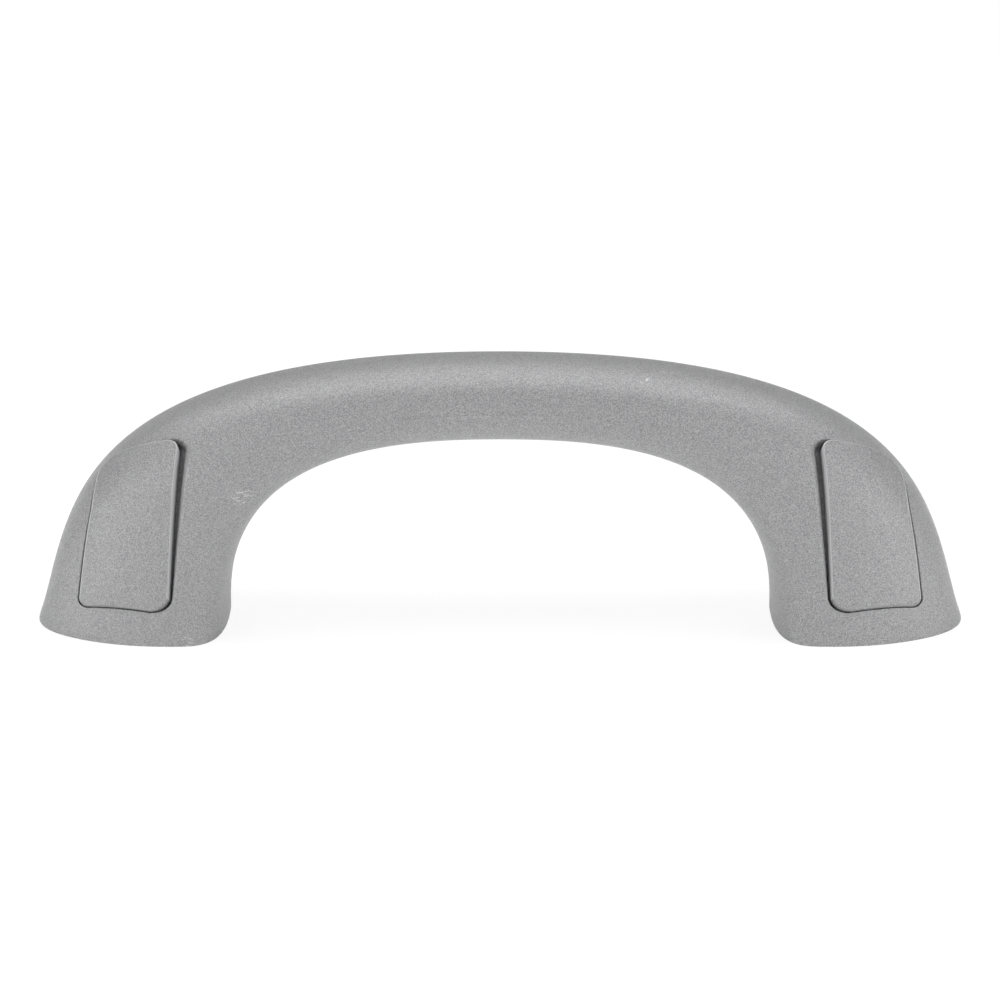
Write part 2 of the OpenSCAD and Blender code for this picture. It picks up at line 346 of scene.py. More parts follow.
def surface(t, angle, grow=0.0):
    """Points of the right half's skin in mm; t runs from the foot to the middle, angle round the section"""
    h, _, _ = props()
    t = np.asarray(t, float)
    lean = math.radians(h.outer_lean)
    outer = cubic(
        (LENGTH / 2, 0),
        (LENGTH / 2 - h.outer_rise * math.sin(lean), h.outer_rise * math.cos(lean)),
        (h.outer_reach, HEIGHT),
        (0, HEIGHT), t)
    inner = cubic(
        (INNER_FOOT_X, 0),
        (INNER_FOOT_X, h.inner_rise),
        (h.inner_reach, h.hand_height),
        (0, h.hand_height), t)
    middle = (outer + inner) / 2
    across = (outer - inner) / 2
    half = np.linalg.norm(across, axis=-1)
    direction = across / half[..., None]
    rest = np.clip(1 - t, 0, None)
    front = h.grip_half + (h.foot_front - h.grip_half) * rest ** FLARE
    back = h.grip_half + (h.foot_back - h.grip_half) * rest ** FLARE
    fade = rest ** CORNER_FADE
    n_out = CORNER_GRIP + (CORNER_OUT - CORNER_GRIP) * fade
    n_in = CORNER_GRIP + (CORNER_IN - CORNER_GRIP) * fade
    cos, sin = np.cos(angle), np.sin(angle)
    in_front = sin >= 0
    n = np.where(in_front, np.where(cos > 0, n_out, n_in), CORNER_BACK)
    plain = np.sign(cos) * np.abs(cos) ** (2 / n)
    lean_in = np.where(in_front, -CREST_SHIFT * rest ** CREST_FADE, 0)
    s = (plain + lean_in) / (1 + lean_in * plain) * (half + grow)
    depth = np.abs(sin) ** (2 / n)
    y = np.where(in_front, -(front + grow) * depth, (back + grow) * depth) + h.grip_setback
    return np.stack([middle[..., 0] + direction[..., 0] * s, y, middle[..., 1] + direction[..., 1] * s], -1)


def to_face(points):
    """Along the hinge and up the face, for points in mm of the right half"""
    d = points - np.array([LEG_X, HINGE_Y, HINGE_Z])
    along = d[..., 0] * math.cos(HINGE_YAW) + d[..., 1] * math.sin(HINGE_YAW)
    back = -d[..., 0] * math.sin(HINGE_YAW) + d[..., 1] * math.cos(HINGE_YAW)
    return np.stack([along, d[..., 2] + math.tan(DRAW_ANGLE) * (back - FACE_Y)], -1)


def from_hinge(points):
    """Points of the right hinge's frame as points of the part, in mm"""
    p = np.asarray(points, float)
    c, s = math.cos(HINGE_YAW), math.sin(HINGE_YAW)
    return np.stack([
        LEG_X + p[..., 0] * c - p[..., 1] * s,
        HINGE_Y + p[..., 0] * s + p[..., 1] * c,
        HINGE_Z + p[..., 2]], -1)


def find_on_skin(face_points, grow=0.0):
    """Parameters t and angle at which the skin lies under each point of the face"""
    target = np.asarray(face_points, float)
    grow = np.broadcast_to(np.asarray(grow, float), target.shape[:1])
    t_seed, a_seed = np.meshgrid(
        np.linspace(*SEED_T, SEEDS), np.radians(np.linspace(*SEED_DEGREES, SEEDS)), indexing="ij")
    seeds = to_face(surface(t_seed.ravel(), a_seed.ravel()))
    nearest = np.argmin(((target[:, None] - seeds[None]) ** 2).sum(-1), axis=1)
    t, a = t_seed.ravel()[nearest], a_seed.ravel()[nearest]
    for _ in range(SEARCH_STEPS):
        here = to_face(surface(t, a, grow))
        by_t = (to_face(surface(t + PROBE, a, grow)) - here) / PROBE
        by_a = (to_face(surface(t, a + PROBE, grow)) - here) / PROBE
        miss = target - here
        area = by_t[:, 0] * by_a[:, 1] - by_t[:, 1] * by_a[:, 0]
        area = np.where(np.abs(area) < LEAST_AREA, LEAST_AREA, area)
        step_t = (miss[:, 0] * by_a[:, 1] - miss[:, 1] * by_a[:, 0]) / area
        step_a = (by_t[:, 0] * miss[:, 1] - by_t[:, 1] * miss[:, 0]) / area
        t = np.clip(t + np.clip(step_t, -MOST_T, MOST_T), *T_LIMITS)
        a = np.clip(a + np.clip(step_a, -MOST_ANGLE, MOST_ANGLE), *ANGLE_LIMITS)
    return t, a


def rounded(corners):
    """Closed outline through corners of [x, y, radius], as an array of points at an even pitch"""
    points = []
    count = len(corners)
    for i, (x, y, r) in enumerate(corners):
        p = np.array([x, y])
        before = np.array(corners[i - 1][:2]) - p
        after = np.array(corners[(i + 1) % count][:2]) - p
        u, v = before / np.linalg.norm(before), after / np.linalg.norm(after)
        half_angle = math.acos(float(u @ v)) / 2
        centre = p + (u + v) / np.linalg.norm(u + v) * r / math.sin(half_angle)
        start = p + u * r / math.tan(half_angle) - centre
        finish = p + v * r / math.tan(half_angle) - centre
        turn = math.atan2(start[0] * finish[1] - start[1] * finish[0], float(start @ finish))
        steps = max(2, int(abs(turn) * r / OUTLINE_STEP) + 2)
        for k in range(steps + 1):
            b = turn * k / steps
            points.append(centre + np.array([
                start[0] * math.cos(b) - start[1] * math.sin(b),
                start[0] * math.sin(b) + start[1] * math.cos(b)]))
    even = []
    for i, p in enumerate(points):
        q = points[(i + 1) % len(points)]
        steps = max(1, int(np.linalg.norm(q - p) / OUTLINE_STEP))
        even.extend(p + (q - p) * k / steps for k in range(steps))
    return np.array(even)


def cover_outline(grow=0.0, inner_foot=0.0, inner_top=0.0):
    """Outline of the cover on its face, grown all round and more at the inner side"""
    corners = np.array(COVER_CORNERS) + grow * np.array(COVER_GROWTH)
    corners[0, 0] -= inner_foot
    corners[-1, 0] -= inner_top
    return rounded(corners)


def outward(outline):
    """Unit normals of a closed outline that runs anticlockwise"""
    along = np.roll(outline, -1, 0) - np.roll(outline, 1, 0)
    normal = np.stack([along[:, 1], -along[:, 0]], -1)
    return normal / np.linalg.norm(normal, axis=1)[:, None]


def inside(points, outline):
    """Whether each point lies inside a closed outline"""
    x, y = points[:, 0][:, None], points[:, 1][:, None]
    x0, y0 = outline[:, 0][None], outline[:, 1][None]
    x1, y1 = np.roll(outline[:, 0], -1)[None], np.roll(outline[:, 1], -1)[None]
    crosses = (y0 > y) != (y1 > y)
    at_x = x0 + (y - y0) * (x1 - x0) / np.where(y1 == y0, 1e-12, y1 - y0)
    return (np.sum(crosses & (x < at_x), axis=1) % 2) == 1


def distance(points, outline):
    """Distance from each point to the nearest point of a dense outline"""
    return np.sqrt(((points[:, None] - outline[None]) ** 2).sum(-1)).min(1)


def triangulate(points, loops):
    """Triangles over points, with closed loops of point numbers kept as edges"""
    edges = [(loop[i], loop[(i + 1) % len(loop)]) for loop in loops for i in range(len(loop))]
    result = delaunay_2d_cdt([Vector(p) for p in points], edges, [], 0, 1e-7)
    faces, origins = result[2], result[3]
    if any(not o for o in origins):
        raise RuntimeError("an outline crosses itself")
    first = [o[0] for o in origins]
    return [[first[v] for v in face] for face in faces if len(face) == 3]


def new_object(name, verts, faces):
    """Mesh object from points in mm"""
    mesh = bpy.data.meshes.new(name)
    mesh.from_pydata([tuple(float(c) * MM for c in v) for v in verts], [], [list(map(int, f)) for f in faces])
    mesh.validate()
    obj = bpy.data.objects.new(name, mesh)
    bpy.context.scene.collection.objects.link(obj)
    return obj


def tidy_mesh(obj, *others):
    """Take in the meshes of other objects, merge doubled points and turn all faces outward"""
    bm = bmesh.new()
    for part in (obj, *others):
        bm.from_mesh(part.data)
    bmesh.ops.remove_doubles(bm, verts=bm.verts, dist=MERGE * MM)
    bmesh.ops.recalc_face_normals(bm, faces=bm.faces)
    bm.to_mesh(obj.data)
    bm.free()


def soften(obj):
    """Smooth shading that stays crisp at sharp edges"""
    obj.data.shade_smooth()
    obj.data.set_sharp_from_angle(angle=math.radians(SHARP_ANGLE))


def combine(obj, other, operation):
    """Apply a boolean with another object, and remove that object"""
    modifier = obj.modifiers.new("cut", "BOOLEAN")
    modifier.operation = operation
    modifier.solver = "EXACT"
    modifier.object = other
    bpy.context.view_layer.update()
    depsgraph = bpy.context.evaluated_depsgraph_get()
    mesh = bpy.data.meshes.new_from_object(obj.evaluated_get(depsgraph))
    obj.modifiers.remove(modifier)
    if not mesh.polygons:
        raise RuntimeError(f"{obj.name}: nothing is left after {other.name}")
    old = obj.data
    obj.data = mesh
    mesh.name = old.name
    bpy.data.meshes.remove(old)
    bpy.data.objects.remove(other)
    return obj


def extrusion(name, bottom, top):
    """Closed solid between two rings of as many points"""
    n = len(bottom)
    faces = [[k, (k + 1) % n, n + (k + 1) % n, n + k] for k in range(n)]
    faces += [list(range(n))[::-1], list(range(n, 2 * n))]
    obj = new_object(name, list(bottom) + list(top), faces)
    tidy_mesh(obj)
    return obj


def box(name, low, high, place=lambda p: p):
    """Box between two corners in mm, moved by a placing function"""
    (x0, y0, z0), (x1, y1, z1) = low, high
    ring = [(x0, y0), (x1, y0), (x1, y1), (x0, y1)]
    return extrusion(name, place([(x, y, z0) for x, y in ring]), place([(x, y, z1) for x, y in ring]))


def circle(r, count):
    """Ring of points round the origin"""
    turns = [2 * math.pi * k / count for k in range(count)]
    return [(r * math.cos(turn), r * math.sin(turn)) for turn in turns]


def upright(name, x, y, r, low, high, count=96):
    """Upright cylinder"""
    ring = [(x + a, y + b) for a, b in circle(r, count)]
    return extrusion(name, [(a, b, low) for a, b in ring], [(a, b, high) for a, b in ring])


def across_hinge(name, r, low, high, count=48):
    """Cylinder along the right hinge's axis"""
    ring = circle(r, count)
    return extrusion(
        name, from_hinge([(low, a, b) for a, b in ring]), from_hinge([(high, a, b) for a, b in ring]))


def leg(name, grow, span, rings, points):
    """Closed right leg, grown or shrunk, from one t to another"""
    t = np.repeat(np.linspace(*span, rings + 1), points)
    a = np.tile(2 * math.pi * np.arange(points) / points, rings + 1)
    faces = []
    for r in range(rings):
        low = range(r * points, (r + 1) * points)
        faces.extend(strip(low, range((r + 1) * points, (r + 2) * points)))
    faces += [list(range(points)), list(range(rings * points, (rings + 1) * points))]
    obj = new_object(name, surface(t, a, grow), faces)
    tidy_mesh(obj)
    return obj


def cover_prism(name, grow):
    """Slanted prism of the cover's outline"""
    outline = cover_outline(grow)
    down = np.array([0, math.cos(DRAW_ANGLE), -math.sin(DRAW_ANGLE)])
    base = np.stack([outline[:, 0], np.full(len(outline), FACE_Y), outline[:, 1]], -1)
    return extrusion(name, from_hinge(base - PRISM_OUT * down), from_hinge(base + PRISM_IN * down))


def rim_rings(h, c):
    """Outline of the pocket's mouth, and its softened rim as rings of t, angle and depth, going outward"""
    mouth = cover_outline(c.seam, INNER_SEAM, c.finger_gap)
    normal = outward(mouth)
    # At the finger gap the rim becomes a scoop that falls towards the cover's edge
    spare = np.clip(distance(mouth, cover_outline()) - c.seam, 0, None)
    mouth = mouth - normal * (spare * SCOOP_IN)[:, None]
    across = h.rim_radius + SCOOP_WIDE * spare
    fall = h.rim_radius + SCOOP_DEEP * spare
    rings = []
    for share in RIM_STEPS:
        depth = (
            h.rim_radius * (1 - np.sqrt(1 - (1 - share) ** 2))
            + (fall - h.rim_radius) * (1 - share) ** SCOOP_POWER)
        rings.append((*find_on_skin(mouth + normal * (across * share)[:, None], -depth), depth))
    for beyond in RIM_BEYOND:
        rings.append((*find_on_skin(mouth + normal * (across + beyond)[:, None]), 0.0))
    return mouth, rings


def make_body_half():
    """Fine skin of the right half with the cover's seat sunk into it, as points in mm and faces"""
    h, c, _ = props()
    steps = (np.arange(HALF_RINGS + 1) / HALF_RINGS) ** RING_POWER
    plain = 2 * math.pi * np.arange(RING_POINTS) / RING_POINTS
    angles = np.unique(np.round(np.concatenate([plain, math.pi / 2 + np.radians(FLASH_STEPS)]), 9))
    columns = len(angles)
    grid_t, grid_a = np.meshgrid(steps, angles, indexing="ij")
    grid = surface(grid_t, grid_a)
    ridge = np.clip(1 - np.abs(grid_a - math.pi / 2) / math.radians(FLASH_STEPS[-1]), 0, 1)
    grid[..., 1] -= h.flash_height * ridge * np.clip((grid_t - FLASH_START) / FLASH_FADE, 0, 1)
    mouth, rings = rim_rings(h, c)
    i0, k0 = (int(np.searchsorted(rows, min(ring[axis].min() for ring in rings))) - PATCH_BEFORE
              for axis, rows in enumerate((steps, angles)))
    i1, k1 = (int(np.searchsorted(rows, max(ring[axis].max() for ring in rings))) + PATCH_AFTER
              for axis, rows in enumerate((steps, angles)))
    hole = np.stack(rings[-1][:2], -1) * PATCH_SCALE
    points, places, on_border = [], [], {}
    for i in range(i0, i1 + 1):
        for k in range(k0, k1 + 1):
            p = np.array([steps[i], angles[k % columns] - (2 * math.pi if k < 0 else 0)]) * PATCH_SCALE
            if i in (i0, i1) or k in (k0, k1):
                on_border[(i, k)] = len(points)
            elif distance(p[None], hole)[0] < PATCH_CLEAR or inside(p[None], hole)[0]:
                continue
            points.append(p)
            places.append(grid[i, k % columns])
    hole_loop = list(range(len(points), len(points) + len(hole)))
    points.extend(hole)
    places.extend(surface(*rings[-1][:2]))
    frame_loop = (
        [on_border[(i0, k)] for k in range(k0, k1)] + [on_border[(i, k1)] for i in range(i0, i1)]
        + [on_border[(i1, k)] for k in range(k1, k0, -1)] + [on_border[(i, k0)] for i in range(i1, i0, -1)])
    triangles = triangulate(points, [frame_loop, hole_loop])
    flat = np.array(points)
    keep = ~inside(np.array([flat[f].mean(0) for f in triangles]), hole)
    verts = list(grid.reshape(-1, 3))
    faces = [
        [i * columns + k, i * columns + (k + 1) % columns,
         (i + 1) * columns + (k + 1) % columns, (i + 1) * columns + k]
        for i in range(HALF_RINGS) for k in range(columns)
        if not (i0 <= i < i1 and (k0 <= k < k1 or k0 <= k - columns < k1))]
    faces.append(list(range(columns)))
    offset = len(verts)
    verts.extend(places)
    faces.extend([[offset + v for v in f] for f, k in zip(triangles, keep) if k])
    upper = [offset + v for v in hole_loop]
    for t, a, depth in reversed(rings[:-1]):
        lower = range(len(verts), len(verts) + len(mouth))
        verts.extend(surface(t, a, -depth))
        faces.extend(strip(upper, lower))
        upper = lower
    seat = add_panel(verts, faces, mouth, -(c.wall - c.proud + c.rim_depth + LEDGE_DROP))
    faces.extend(strip(upper, seat))
    return verts, faces


def make_cover(c, outline, normal, radius):
    """Shell of the right cover with its softened edge and its rim, as points in mm and faces"""
    growth = cover_growth(c, outline[:, 1].min(), outline[:, 1].max())
    count = len(outline)
    verts, faces = [], []
    for share in EDGE_STEPS[:-1]:
        ring = outline - normal * (radius * share)[:, None]
        upper = add_ring(verts, ring, growth(ring) - radius * (1 - np.sqrt(1 - (1 - share) ** 2)))
        faces.extend(strip(upper, range(len(verts), len(verts) + count)))
    add_panel(verts, faces, outline - normal * (radius * EDGE_STEPS[-1])[:, None], growth)
    rim_end = c.proud - c.wall - c.rim_depth
    inner = outline - normal * c.rim_wall
    previous = range(count)
    for ring in (outline, inner):
        here = add_ring(verts, ring, rim_end)
        faces.extend(strip(here, previous))
        previous = here
    faces.extend(strip(add_panel(verts, faces, inner, c.proud - c.wall), previous))
    return verts, faces


def strip(upper, lower):
    """Faces between two closed rings of as many points"""
    n = len(upper)
    return [[upper[k], upper[(k + 1) % n], lower[(k + 1) % n], lower[k]] for k in range(n)]


def panel(outline, grow):
    """Skin under an outline at a growth, as points in mm and faces; the outline's points come first"""
    low, high = outline.min(0), outline.max(0)
    gx, gy = np.meshgrid(np.arange(low[0], high[0], PANEL_PITCH), np.arange(low[1], high[1], PANEL_PITCH))
    inner = np.stack([gx.ravel(), gy.ravel()], -1)
    inner = inner[inside(inner, outline)]
    inner = inner[distance(inner, outline) > PANEL_CLEAR]
    flat = np.concatenate([outline, inner])
    triangles = triangulate(flat, [list(range(len(outline)))])
    keep = inside(np.array([flat[f].mean(0) for f in triangles]), outline)
    growth = grow(flat) if callable(grow) else np.full(len(flat), grow)
    t, a = find_on_skin(flat, growth)
    return surface(t, a, growth), [f for f, k in zip(triangles, keep) if k]


def add_ring(verts, ring, grow):
    """Add the skin's points under a closed ring of the face, and return their numbers"""
    start = len(verts)
    verts.extend(surface(*find_on_skin(ring, grow), grow))
    return range(start, len(verts))


def add_panel(verts, faces, outline, grow):
    """Add the skin under an outline, and return the numbers of the outline's points"""
    start = len(verts)
    points, triangles = panel(outline, grow)
    verts.extend(points)
    faces.extend([[start + v for v in f] for f in triangles])
    return range(start, start + len(outline))


def foot_core():
    """Space cored out of the right foot from below"""
    core = leg("core", -FOOT_WALL, CORE_SPAN, 24, 72)
    limit = box("limit", (INNER_FOOT_X + FOOT_WALL, -PAST, -OVERSHOOT), (LENGTH, PAST, CORE_HEIGHT))
    combine(core, limit, "INTERSECT")
    block = box(
        "block", (-POCKET_HALF - POCKET_WALL, -PAST, FLOOR_Z - HINGE_Z - POCKET_WALL),
        (POCKET_HALF + POCKET_WALL, -HINGE_Y + POCKET_BACK + POCKET_WALL, PAST), from_hinge)
    combine(core, block, "DIFFERENCE")
    boss = upright("boss", LEG_X, 0, BOSS_R, -3 * OVERSHOOT, FLOOR_Z + OVERSHOOT)
    combine(core, boss, "DIFFERENCE")
    half = RIB_WALL / 2
    for x in (LEG_X - RIB_PITCH, LEG_X, LEG_X + RIB_PITCH):
        combine(core, box("rib", (x - half, -PAST, -3 * OVERSHOOT), (x + half, PAST, PAST)), "DIFFERENCE")
    across = box("rib", (LEG_X - PAST, -half, -3 * OVERSHOOT), (LEG_X + PAST, half, PAST))
    return combine(core, across, "DIFFERENCE")


def screw_pocket():
    """Space of the right screw pocket below the cover's ledge"""
    pocket = cover_prism("pocket", -LEDGE_INSET)
    limit = box(
        "limit", (-POCKET_HALF, -PAST, FLOOR_Z - HINGE_Z),
        (POCKET_HALF, -HINGE_Y + POCKET_BACK, PAST), from_hinge)
    return combine(pocket, limit, "INTERSECT")


def swing_room():
    """Room behind the right pocket's lower lip for the cover's edge to swing, with the trunnions' bores"""
    half = POCKET_HALF + SIDE_EASE
    room = leg("room", -SWING_SKIN, ROOM_SPAN, 40, 96)
    trough = across_hinge("trough", SWING_R + SWING_EASE, -half, half, 96)
    limit = box("limit", (-PAST, -PAST, -PAST), (PAST, PAST, SWING_TOP), from_hinge)
    combine(trough, limit, "INTERSECT")
    combine(room, trough, "INTERSECT")
    for side in (-1, 1):
        ends = sorted((side * (POCKET_HALF - SWING_GAP), side * (POCKET_HALF + PIN_SEAT + PIN_PAST)))
        combine(room, across_hinge("bore", PIN_R + PIN_CLEARANCE, *ends), "UNION")
    return room


def cover_ribs(c):
    """Ribs and arm roots on the right cover's inner face, sunk a little into its wall"""
    ribs = leg("ribs", c.proud - c.wall + COVER_RIB_SINK, RIBS_SPAN, 60, 96)
    under = leg("under", c.proud - c.wall - c.rim_depth, UNDER_SPAN, 60, 96)
    combine(ribs, under, "DIFFERENCE")
    combine(ribs, cover_prism("inside", -c.rim_wall / 2), "INTERSECT")
    front = box("front", (-PAST, -PAST, -PAST), (PAST, COVER_REACH, PAST), from_hinge)
    combine(ribs, front, "INTERSECT")
    bars = box("bars", (-COVER_RIB / 2, -PAST, RIM_START), (COVER_RIB / 2, PAST, PAST), from_hinge)
    for z in COVER_RIBS_Z:
        combine(bars, box("bar", (-PAST, -PAST, z), (PAST, PAST, z + COVER_RIB), from_hinge), "UNION")
    for start in (-ARM_OFFSET - ARM_WALL, ARM_OFFSET):
        root = box("root", (start, -PAST, -ARM_NECK), (start + ARM_WALL, PAST, ARM_ROOT), from_hinge)
        combine(bars, root, "UNION")
    return combine(ribs, bars, "INTERSECT")


def mirrored(obj, name):
    """Copy of an object mirrored to the left side"""
    mesh = obj.data.copy()
    mesh.transform(Matrix.Scale(-1, 4, (1, 0, 0)))
    mesh.flip_normals()
    copy = bpy.data.objects.new(name, mesh)
    bpy.context.scene.collection.objects.link(copy)
    return copy


def keep_left(obj):
    """Drop the faces to the right of the middle"""
    bm = bmesh.new()
    bm.from_mesh(obj.data)
    bmesh.ops.delete(bm, geom=[f for f in bm.faces if f.calc_center_median().x > 0], context="FACES")
    bm.to_mesh(obj.data)
    bm.free()


def add_mirrored(obj):
    """Join an object with its mirror image, merged at the middle"""
    other = mirrored(obj, "other")
    tidy_mesh(obj, other)
    bpy.data.objects.remove(other)


def add_node(tree, kind, settings=None, **links):
    """Add a node with its settings; each link names an input and gives a socket or a value"""
    node = tree.nodes.new(kind)
    for key, value in (settings or {}).items():
        setattr(node, key, value)
    for key, value in links.items():
        socket = node.inputs[int(key[1:])] if key[1:].isdigit() else node.inputs[key.replace("_", " ")]
        if isinstance(value, bpy.types.NodeSocket):
            tree.links.new(value, socket)
        else:
            socket.default_value = value
    return node


def start_material(name):
    """New material with an empty tree, and that tree"""
    material = bpy.data.materials.new(name)
    material.use_nodes = True
    material.node_tree.nodes.clear()
    return material, material.node_tree


def give_materials(obj, *materials):
    """Put materials in the place of an object's own"""
    obj.data.materials.clear()
    for material in materials:
        obj.data.materials.append(material)


def scuff_mask(tree, place):
    """How scuffed each point is: fine slanted streaks, only in the patches where hands and rings knock"""
    total = None
    for (x, y, z), reach in SCUFFS:
        away = add_node(tree, "ShaderNodeVectorMath", {"operation": "DISTANCE"}, _0=place,
                        _1=(x * MM, y * MM, z * MM)).outputs["Value"]
        patch = add_node(tree, "ShaderNodeMapRange", None, Value=away, From_Min=0.4 * reach * MM,
                         From_Max=reach * MM, To_Min=1.0, To_Max=0.0).outputs[0]
        total = patch if total is None else add_node(
            tree, "ShaderNodeMath", {"operation": "MAXIMUM"}, _0=total, _1=patch).outputs[0]
    turned = add_node(tree, "ShaderNodeMapping", None, Vector=place, Rotation=(0.0, SCUFF_TURN, 0.0),
                      Scale=SCUFF_SCALE).outputs[0]
    streaks = add_node(tree, "ShaderNodeTexNoise", None, Vector=turned, Scale=1.0, Detail=1.0).outputs["Fac"]
    sharp = add_node(tree, "ShaderNodeMapRange", None, Value=streaks, From_Min=SCUFF_FROM,
                     From_Max=SCUFF_FULL).outputs[0]
    return add_node(tree, "ShaderNodeMath", {"operation": "MULTIPLY"}, _0=total, _1=sharp).outputs[0]


def grained_plastic(name, seed):
    """Moulded polypropylene with a fine leather grain: soft sheen, broken into points by the grain"""
    _, _, colours = props()
    material, tree = start_material(name)
    place = add_node(tree, "ShaderNodeTexCoord").outputs["Object"]
    moved = add_node(tree, "ShaderNodeMapping", None, Vector=place, Location=(seed, 0.3 * seed, 0)).outputs[0]
    # Worm-like grain about 0.6 mm from tip to tip: tips paler, partly rubbed wear and partly a painted highlight;
    # pits darker as painted shade
    grain = add_node(tree, "ShaderNodeTexNoise", None, Vector=moved, Scale=GRAIN_SCALE, Detail=1.0,
                     Roughness=0.5, Distortion=GRAIN_TWIST).outputs["Fac"]
    broad = add_node(tree, "ShaderNodeTexNoise", None, Vector=moved, Scale=SHEEN_SCALE,
                     Detail=3.0).outputs["Fac"]
    bump = add_node(tree, "ShaderNodeBump", None, Strength=1.0, Distance=GRAIN_DEPTH, Height=grain).outputs[0]
    tips = add_node(tree, "ShaderNodeMapRange", None, Value=grain, From_Min=0.5 - GRAIN_STEP,
                    From_Max=0.5 + GRAIN_STEP, To_Min=0.0, To_Max=1.0).outputs[0]
    # Painted shade in the pits, and a painted highlight with rubbed wear on the tips
    colour = add_node(tree, "ShaderNodeMix", {"data_type": "RGBA"}, _0=tips, _6=linear(colours.plastic),
                      _7=linear(colours.plastic_tips_worn_and_highlit)).outputs[2]
    colour = add_node(tree, "ShaderNodeMix", {"data_type": "RGBA"}, _0=scuff_mask(tree, place), _6=colour,
                      _7=linear(colours.scuff)).outputs[2]
    rough = add_node(tree, "ShaderNodeMapRange", None, Value=broad, From_Min=0.3, From_Max=0.7, To_Min=0.36,
                     To_Max=0.42).outputs[0]
    shader = add_node(tree, "ShaderNodeBsdfPrincipled", None, Base_Color=colour, Roughness=rough, IOR=1.49,
                      Specular_IOR_Level=0.8, Normal=bump)
    add_node(tree, "ShaderNodeOutputMaterial", None, Surface=shader.outputs[0])
    return material


def edge_highlight_finish():
    """The same plastic in a paler grey as a painted highlight, without grain, so the cover's edge draws a fine
    pale line
    """
    _, _, colours = props()
    material, tree = start_material("edge_highlight_polypropylene")
    place = add_node(tree, "ShaderNodeTexCoord").outputs["Object"]
    wear = add_node(tree, "ShaderNodeTexNoise", None, Vector=place, Scale=300.0, Detail=2.0).outputs["Fac"]
    rough = add_node(tree, "ShaderNodeMapRange", None, Value=wear, To_Min=0.3, To_Max=0.5).outputs[0]
    shader = add_node(tree, "ShaderNodeBsdfPrincipled", None, Base_Color=linear(colours.edge),
                      Roughness=rough, IOR=1.49)
    add_node(tree, "ShaderNodeOutputMaterial", None, Surface=shader.outputs[0])
    return material


def paint_edge_highlight(obj, outline, width):
    """Give the second material, the painted edge highlight, to the edge along a cover's outline, as wide as each
    outline point says
    """
    mesh = obj.data
    count = len(mesh.polygons)
    centres = np.empty(count * 3)
    normals = np.empty(count * 3)
    mesh.polygons.foreach_get("center", centres)
    mesh.polygons.foreach_get("normal", normals)
    centres, normals = centres.reshape(-1, 3) / MM, normals.reshape(-1, 3)
    gap = np.sqrt(((to_face(centres)[:, None] - outline[None]) ** 2).sum(-1))
    near = gap.min(1) < width[gap.argmin(1)]
    front = normals[:, 1] * math.cos(HINGE_YAW) - normals[:, 0] * math.sin(HINGE_YAW) < HIGHLIGHT_FRONT
    mesh.polygons.foreach_set("material_index", (near & front).astype(np.int32))


def plated_steel():
    """Zinc-plated steel, turned: bright, with faint rings from the tool"""
    _, _, colours = props()
    material, tree = start_material("turned_zinc_plated_steel")
    place = add_node(tree, "ShaderNodeTexCoord").outputs["Object"]
    rings = add_node(tree, "ShaderNodeTexNoise", None, Vector=place, Scale=900.0, Detail=2.0).outputs["Fac"]
    rough = add_node(tree, "ShaderNodeMapRange", None, Value=rings, To_Min=0.28, To_Max=0.42).outputs[0]
    bump = add_node(tree, "ShaderNodeBump", None, Strength=0.3, Distance=0.00004, Height=rings).outputs[0]
    shader = add_node(tree, "ShaderNodeBsdfPrincipled", None, Base_Color=linear(colours.steel), Metallic=1.0,
                      Roughness=rough, Normal=bump)
    add_node(tree, "ShaderNodeOutputMaterial", None, Surface=shader.outputs[0])
    return material


def floor_finish():
    """Pale seamless floor that shows white to the eye and keeps a soft shadow"""
    _, _, colours = props()
    material, tree = start_material("matt_paper_floor")
    path = add_node(tree, "ShaderNodeLightPath")
    seen = add_node(tree, "ShaderNodeMath", {"operation": "MAXIMUM"}, _0=path.outputs["Is Camera Ray"],
                    _1=path.outputs["Is Glossy Ray"]).outputs[0]
    share = add_node(tree, "ShaderNodeMath", {"operation": "MULTIPLY"}, _0=seen, _1=FLOOR_SHARE).outputs[0]
    matt = add_node(tree, "ShaderNodeBsdfDiffuse", None, Color=linear(colours.floor)).outputs[0]
    glow = add_node(tree, "ShaderNodeEmission", None, Color=WHITE, Strength=FLOOR_GLOW).outputs[0]
    both = add_node(tree, "ShaderNodeMixShader", None, _0=share, _1=matt, _2=glow).outputs[0]
    add_node(tree, "ShaderNodeOutputMaterial", None, Surface=both)
    return material


def edge_radius(sizes, normal):
    """Radius of the cover's edge along its outline: largest at the top, then at the outer side"""
    radius = sizes.edge_radius * (
        EDGE_PLAIN + EDGE_TOP * np.clip(normal[:, 1], 0, 1) + EDGE_OUTER * np.clip(normal[:, 0], 0, 1))
    return np.mean([np.roll(radius, k) for k in range(-EDGE_BLEND, EDGE_BLEND + 1)], axis=0)


def cover_growth(sizes, foot, top):
    """Growth of the cover's outer skin as a rule of the height up its face"""
    return lambda face: sizes.proud + sizes.lift * np.clip((face[:, 1] - foot) / (top - foot), 0, 1)


def look_from(obj, target, azimuth, elevation, away):
    """Link an object to the scene, away from a target and turned to it"""
    bpy.context.scene.collection.objects.link(obj)
    turn, rise = math.radians(azimuth), math.radians(elevation)
    obj.location = Vector(target) + away * Vector((
        math.sin(turn) * math.cos(rise), -math.cos(turn) * math.cos(rise), math.sin(rise)))
    obj.rotation_euler = (Vector(target) - obj.location).to_track_quat("-Z", "Y").to_euler()


